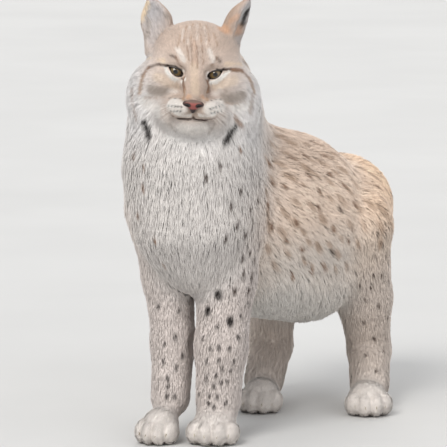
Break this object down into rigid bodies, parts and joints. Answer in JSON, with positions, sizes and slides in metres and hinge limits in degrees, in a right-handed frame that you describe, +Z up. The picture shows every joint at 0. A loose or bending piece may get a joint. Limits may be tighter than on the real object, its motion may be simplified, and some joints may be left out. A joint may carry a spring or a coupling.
{
  "type": "Eurasian lynx",
  "caption": "Life-size model of a Eurasian lynx that sits low on its haunches, with straight forelegs, a thick spotted coat, a cheek ruff and black ear tufts.",
  "frame": {"origin": "middle of the model's bounding box, on the floor under the paws", "axes": "+Z up; -Y is where the chest and the face look; +X is the animal's left side"},
  "size_m": [0.5046, 0.7532, 0.8425],
  "materials": {
    "coat": "thick soft beige and grey fur with dark brown spots",
    "pale_coat": "white to cream fur of the ruff, chest, legs and paws, spotted on the legs",
    "warm_coat": "peach to orange fur of the haunches and the ears",
    "eye": "wet olive iris with a small round black pupil",
    "nose": "matt pinkish red skin with dark edges"
  },
  "bodies": {
    "root": {"ear_left": "warm_coat", "ear_right": "warm_coat", "eye_left": "eye", "eye_right": "eye", "foreleg_left": "pale_coat", "foreleg_right": "pale_coat", "forepaw_left": "pale_coat", "forepaw_right": "pale_coat", "head": "coat", "hindleg_left": "warm_coat", "hindleg_right": "warm_coat", "hindpaw_left": "pale_coat", "hindpaw_right": "pale_coat", "neck": "pale_coat", "nose": "nose", "tail": "coat", "torso": "coat"}
  },
  "joints": []
}
